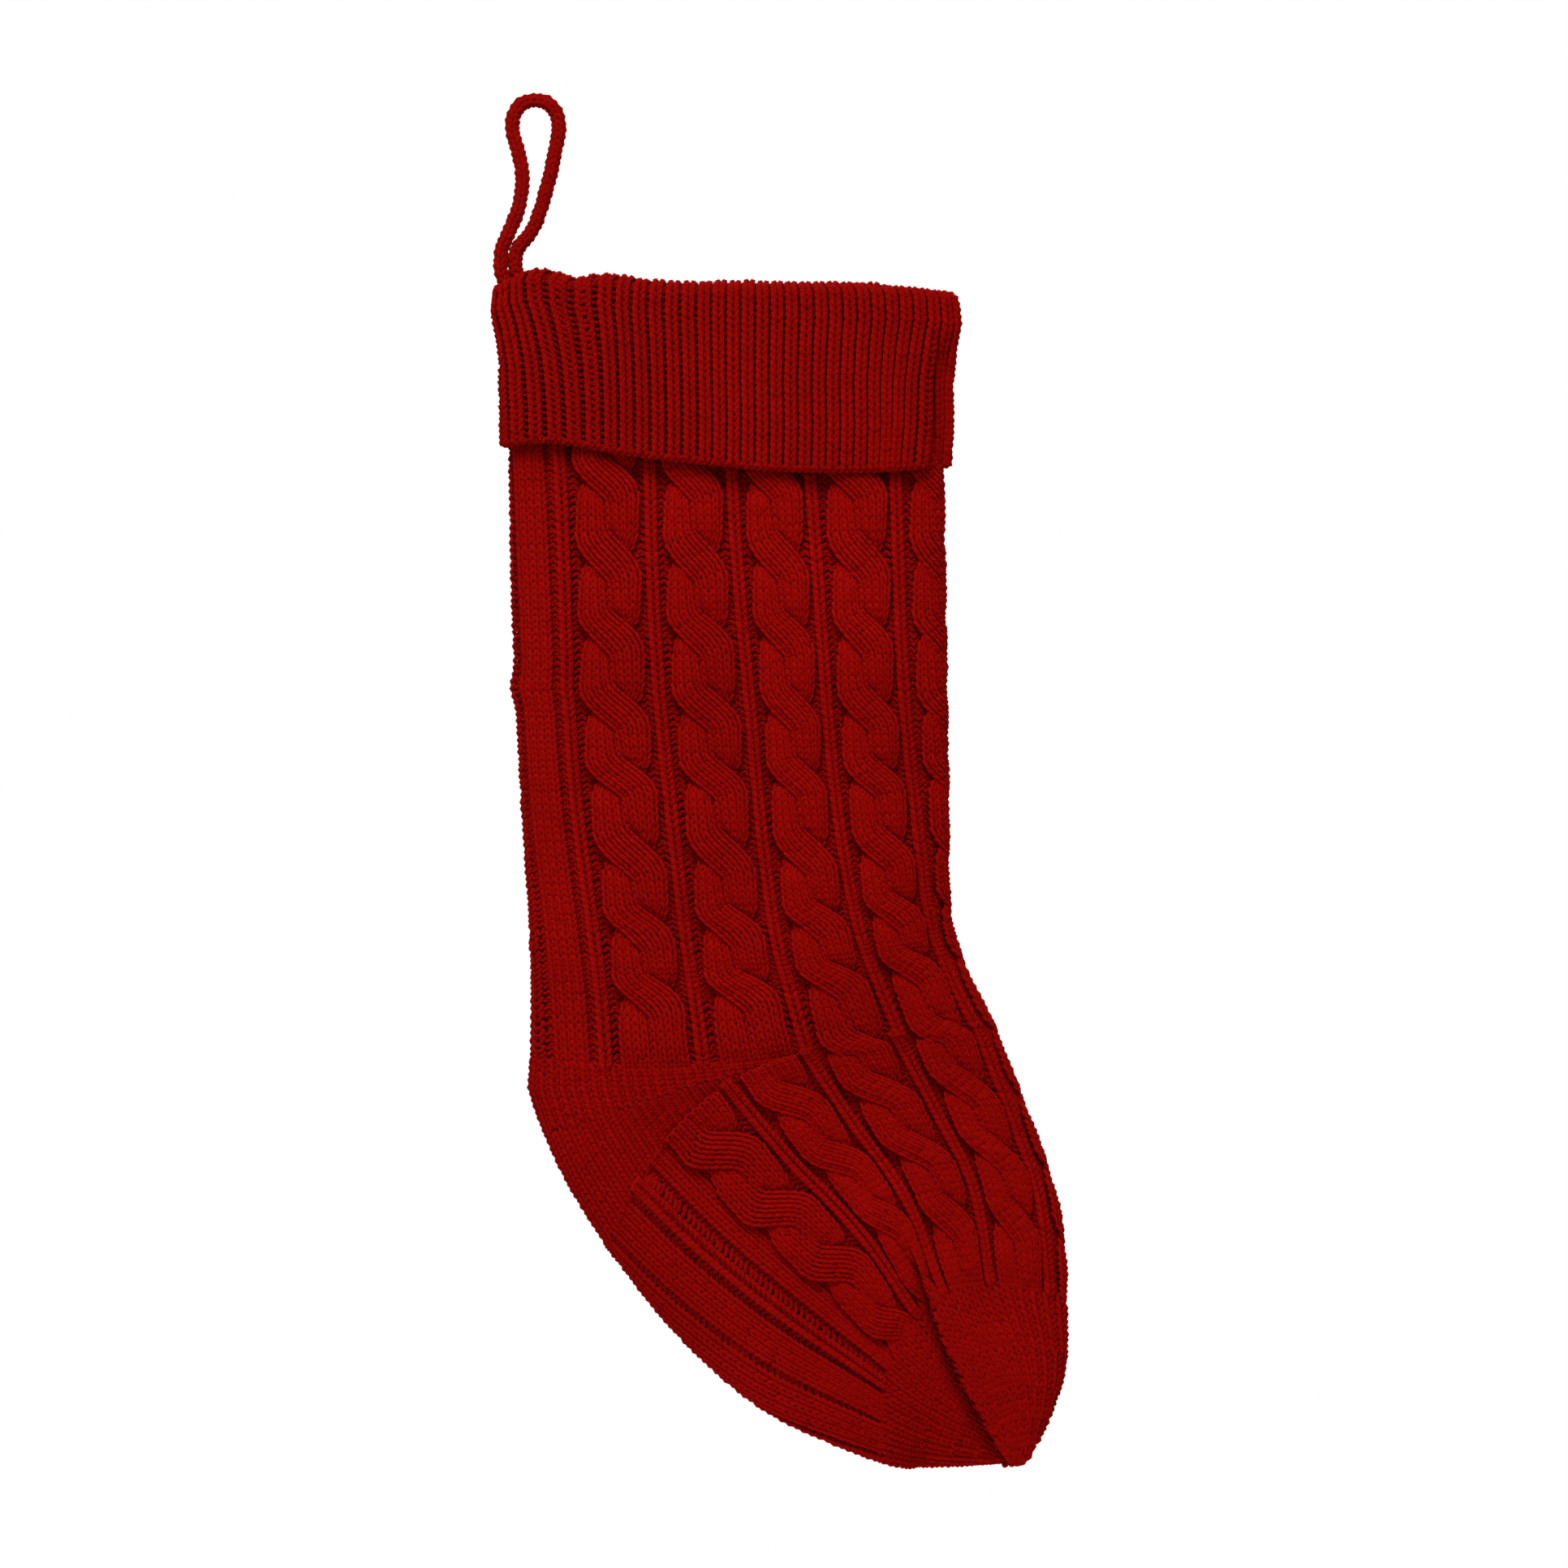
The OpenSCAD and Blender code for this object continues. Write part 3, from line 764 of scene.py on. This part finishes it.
def sole_ribs():
    yarn = Yarn()
    for place in (0, 1, 8, 9):
        rib(yarn, foot, place, 0, FOOT_ROWS, SOLE_PITCH)
    piece(yarn, "sole_ribs", cable_yarn, "sole_panel")


def sole_band():
    yarn = Yarn()
    back_band(yarn, foot, SOLE_BAND, 0, FOOT_ROWS, SOLE_PITCH)
    piece(yarn, "sole_band", cable_yarn, "sole_panel")


# ---------------------------------------------------------------- the toe and the heel
# rows of the toe, from and to, with the wales left after each decrease
TOE_WALES = ((0, 9, 58), (9, 15, 46), (15, 20, 34), (20, 24, 22), (24, 27, 12))


def toe_knit():
    """Plain rows with wales of even width all the way round."""
    chart = np.linspace(0, ROUND * 0.99999, 400)
    way = foot.way(chart, np.broadcast_to(foot.table[-1, 8:13], (len(chart), 5)))
    yarn = Yarn()
    for first, last, wales in TOE_WALES:
        even = np.interp(np.linspace(way[0], way[-1], wales + 1), way, chart)
        plain(yarn, foot, even, FOOT_ROWS + np.arange(first, last))
    piece(yarn, "toe_knit", plain_yarn, "toe_cap")


def heel_knit():
    yarn = Yarn()
    for row in range(Heel.UPPER + Heel.LOWER):
        wales = heel.wales_in(row + 0.5)
        if wales > 0:
            plain(yarn, heel, np.arange(-wales, wales + 1.0), [row], tuck=0.2)
    piece(yarn, "heel_knit", plain_yarn, "heel_pocket")


# ---------------------------------------------------------------- the cuff
KNIT_SHARE = 0.85         # the knit wale's share of a rib; the rest is the purl wale in the groove
CUFF_RELIEFS = [1.0, -2.5]
RISE = Cuff.OUTER + Cuff.FOLD           # rows up to the end of the fold
TO_INSIDE = RISE + Cuff.INNER
ONE_FACE, BOTH_FACES = Cuff.RIBS, 2 * Cuff.RIBS
# name, CAD node, first and last rib, first and last row
CUFF_PIECES = (("cuff_front", "cuff_turn_down", 0, ONE_FACE, 0, Cuff.OUTER),
               ("cuff_back", "cuff_turn_down", ONE_FACE, BOTH_FACES, 0, Cuff.OUTER),
               ("cuff_over_fold", "cuff_fold", 0, BOTH_FACES, Cuff.OUTER, RISE),
               ("rib_inside_front", "rib_band", 0, ONE_FACE, RISE, TO_INSIDE),
               ("rib_inside_back", "rib_band", ONE_FACE, BOTH_FACES, RISE, TO_INSIDE))
CHAIN_ROW, CHAIN_OUT = -0.55, 0.2       # the chained edge lies below the first row, and stands out a little
CHAIN_STEP = 0.08                       # ribs between two points of the chain


def cuff_ribs():
    for name, node, first_rib, last_rib, first_row, last_row in CUFF_PIECES:
        yarn = Yarn()
        edges = [first_rib]
        for r in range(first_rib, last_rib):
            edges += [r + KNIT_SHARE, r + 1]
        count = last_rib - first_rib
        stitches(yarn, cuff, np.array(edges, float), [KNIT, PURL] * count, CUFF_RELIEFS * count,
                 np.arange(first_row, last_row), bold=1.3, waves=False, sway=0.19, level=0.42)
        piece(yarn, name, rib_yarn, node)


def twist(yarn, path, normal, radius, pitch, plies, thick):
    """Plies of yarn that twist round a path."""
    length = np.concatenate([[0], np.cumsum(np.linalg.norm(np.diff(path, axis=0), axis=1))])
    ahead = unit(np.gradient(path, axis=0))
    side = unit(np.cross(ahead, normal))
    up = np.cross(side, ahead)
    turn = 2 * math.pi * (length / pitch + np.arange(plies)[:, None] / plies)
    out = np.cos(turn)[..., None] * side + np.sin(turn)[..., None] * up
    yarn.add(path + radius * out, out, thick, thick, 0 * turn)


def cuff_edge_chain():
    yarn = Yarn()
    places = np.arange(0, BOTH_FACES + 0.01, CHAIN_STEP)
    path, normal = cuff.frame_at(places, np.full_like(places, CHAIN_ROW))
    twist(yarn, path + CHAIN_OUT * normal, normal, radius=0.75, pitch=5.2, plies=2, thick=1.0)
    piece(yarn, "cuff_edge_chain", rib_yarn, "cuff_cast_off_edge")


# ---------------------------------------------------------------- the hanging loop
BACK_END = [[-2, -92], [-2, -87], [-2, -82], [-2.8, -77], [-6.4, -72], [-11.2, -67], [-13.2, -62.4]]
LOOP = [[-13.2, -55.6], [-12, -52], [-9.5, -46], [-6.6, -39], [-5.2, -31], [-5.2, -24], [-6.6, -17],
        [-8.6, -10], [-8.8, -5], [-7, -0.5], [-4, 2], [0, 2.6], [4.4, 1.6], [7.6, -1.6], [8.8, -6],
        [8.6, -11], [7.4, -17], [6, -24], [4.2, -31], [2.2, -38], [-0.8, -46], [-5.4, -52], [-7.6, -55.6]]
FRONT_END = [[-7.6, -62.4], [-4.8, -67], [1.2, -72], [5.2, -77], [6, -82], [6, -87], [6, -92]]
ROUTE = BACK_END + LOOP + FRONT_END
CORD_D = 5.2
CORE_R = 1.4                            # the yarn inside the cord
loop = Cord(np.array(ROUTE, float))


def hanging_loop():
    """One knitted cord, from its end at the back to its end at the front."""
    yarn = Yarn()
    stitches(yarn, loop, np.arange(Cord.WALES + 1.0), [KNIT] * Cord.WALES, [0.0] * Cord.WALES,
             np.arange(1, loop.rows), wide=1.05, thick=0.85, waves=False, pinch=0)
    core = loop.middle(np.arange(0, loop.rows, 0.5))
    across = np.broadcast_to(np.array([0.0, 1, 0]), core.shape)
    yarn.add(core[None], across[None], CORE_R, CORE_R, np.zeros((1, len(core))))
    cord = yarn.mesh("loop_knit", cord_yarn)
    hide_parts("hang_loop", "loop_ends")
    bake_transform(cord)


# ---------------------------------------------------------------- painted shade: a darker sheet behind the stitches, in the gaps between loops
SHADE_SHEET_INSET = 1.0       # at the folds
FACE_INSET = 4.4         # on the faces, where the cables and ladders go deep
CUFF_INSET = 3.5         # on the cuff's faces, where it fills the grooves between the ribs
FACE_DEPTH = 9           # how far from the middle plane the faces begin
C_STEPS, ROW_STEPS = 220, 60


def shade_sheet(name, surface, body_c, rows, node, face_inset=FACE_INSET):
    """A darker sheet of painted shade behind the stitches, which shows in the gaps between loops and stops
    the view through them. flat is its width round and its length, laid flat, in millimetres.
    """
    cs = np.linspace(body_c[0], body_c[1], C_STEPS + 1)
    rs = np.linspace(rows[0], rows[1], ROW_STEPS + 1)
    c, r = np.meshgrid(cs, rs)
    face = np.clip(np.abs(surface.point(c, r)[..., 1]) / FACE_DEPTH, 0, 1)
    inset = SHADE_SHEET_INSET + (face_inset - SHADE_SHEET_INSET) * face
    p = surface.point(c, r, inset)
    p[..., 1] += np.sign(p[..., 1]) * crease(p)
    p = p.reshape(-1, 3) * MM
    k = (np.arange(ROW_STEPS)[:, None] * (C_STEPS + 1) + np.arange(C_STEPS)[None]).ravel()
    faces = np.stack([k, k + 1, k + C_STEPS + 2, k + C_STEPS + 1], -1)
    me = bpy.data.meshes.new(name)
    me.from_pydata(p.tolist(), [], faces.tolist())
    me.polygons.foreach_set("use_smooth", np.ones(len(faces), bool))
    me.materials.append(painted_gap_shade)
    ob = bpy.data.objects.new(name, me)
    bpy.context.scene.collection.objects.link(ob)
    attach(ob, "stocking")
    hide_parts(node)


def shade_sheets():
    shade_sheet("leg_shade_sheet", leg, (0, ROUND), (0, LEG_ROWS), "leg_tube")
    shade_sheet("foot_shade_sheet", foot, (0, ROUND), (0, FOOT_ROWS + TOE_ROWS), "sole_panel")
    shade_sheet("heel_shade_sheet", heel, (-Heel.WALES, Heel.WALES), (0, Heel.UPPER + Heel.LOWER),
           "heel_pocket")
    shade_sheet("cuff_shade_sheet", cuff, (0, BOTH_FACES), (0, TO_INSIDE), "cuff_turn_down",
           face_inset=CUFF_INSET)


# ---------------------------------------------------------------- thread
THREAD_R = 0.22          # one of the thread's two plies
TACK_X, TACK_HEIGHTS = (-2, 6), (-85.5, -89)
TACK_R = CORD_D / 2 + 0.65
TOE_TIP = np.array([179.0, 0, -516.6])
KNOT_SIZE, KNOT_YARN_R = 0.48, 0.75


def tack_thread():
    """Rings of thread that tack the loop's two ends down."""
    yarn = Yarn()
    around = np.linspace(0, 2 * math.pi, 97)
    out = np.stack([np.cos(around), np.sin(around), 0 * around], -1)
    for x in TACK_X:
        for z in TACK_HEIGHTS:
            ring = np.array([x, 0, z]) + TACK_R * out
            twist(yarn, ring, out, radius=0.16, pitch=1.6, plies=2, thick=THREAD_R)
    piece(yarn, "tack_thread", thread, "loop_tacks")


def toe_knot():
    """A trefoil knot at the tip of the toe."""
    turn = np.linspace(0, 2 * math.pi, 61)
    knot = np.stack([np.sin(turn) + 2 * np.sin(2 * turn), -np.sin(3 * turn),
                     np.cos(turn) - 2 * np.cos(2 * turn)], -1)
    yarn = Yarn()
    yarn.add((TOE_TIP + KNOT_SIZE * knot)[None], unit(knot)[None], KNOT_YARN_R, KNOT_YARN_R,
             np.zeros((1, len(turn))))
    piece(yarn, "toe_knot", thread, "toe_closing_stitch")


# ---------------------------------------------------------------- camera, light and floor
FRAME_WIDTH = 597.8 * MM                 # what the picture's width takes in
LENS, SENSOR = 300, 36
VIEW_CENTRE = Vector((94.7, 0, -258)) * MM
FLOOR_HALF, FLOOR_DROP = 0.6, 0.10       # metres


def add_camera():
    camera = bpy.data.objects.new("camera", bpy.data.cameras.new("camera"))
    bpy.context.scene.collection.objects.link(camera)
    camera.data.lens = LENS
    camera.data.sensor_width = SENSOR
    camera.location = VIEW_CENTRE + Vector((0, -FRAME_WIDTH * LENS / SENSOR, 0))
    camera.rotation_euler = (math.pi / 2, 0, 0)
    bpy.context.scene.camera = camera


def add_light(name, size, power, offset):
    """A soft square light that points at the middle of the view."""
    light = bpy.data.objects.new(name, bpy.data.lights.new(name, "AREA"))
    bpy.context.scene.collection.objects.link(light)
    light.data.size = size
    light.data.energy = power
    light.location = VIEW_CENTRE + Vector(offset)
    light.rotation_euler = (-Vector(offset)).to_track_quat("-Z", "Y").to_euler()


def add_floor():
    me = bpy.data.meshes.new("floor")
    low = cad_low.z - FLOOR_DROP
    corners = [(VIEW_CENTRE.x + sx * FLOOR_HALF, sy * FLOOR_HALF, low)
               for sx, sy in ((-1, -1), (1, -1), (1, 1), (-1, 1))]
    me.from_pydata(corners, [], [(0, 1, 2, 3)])
    floor = bpy.data.objects.new("floor", me)
    bpy.context.scene.collection.objects.link(floor)
    pale = bpy.data.materials.new("floor_pale")
    pale.use_nodes = True
    pale.node_tree.nodes["Principled BSDF"].inputs["Base Color"].default_value = (0.8, 0.8, 0.8, 1)
    pale.node_tree.nodes["Principled BSDF"].inputs["Roughness"].default_value = 0.9
    me.materials.append(pale)


def add_world():
    world = bpy.data.worlds.new("studio")
    bpy.context.scene.world = world
    world.use_nodes = True
    world.node_tree.nodes["Background"].inputs["Color"].default_value = (1, 1, 1, 1)
    world.node_tree.nodes["Background"].inputs["Strength"].default_value = 1.0


leg_cables()
leg_ribs()
leg_back_band()
instep_cables()
instep_ribs()
sole_cables()
sole_filling()
sole_ribs()
sole_band()
toe_knit()
heel_knit()
cuff_ribs()
cuff_edge_chain()
hanging_loop()
shade_sheets()
tack_thread()
toe_knot()

add_camera()
add_world()
add_floor()
add_light("key", 0.7, 62, (-0.1, -1.1, 1.35))
add_light("fill", 1.2, 8, (-1.2, -1.1, 0.2))
add_light("back", 0.9, 50, (0.3, 1.3, 1.1))
bpy.context.scene.view_settings.view_transform = "Standard"
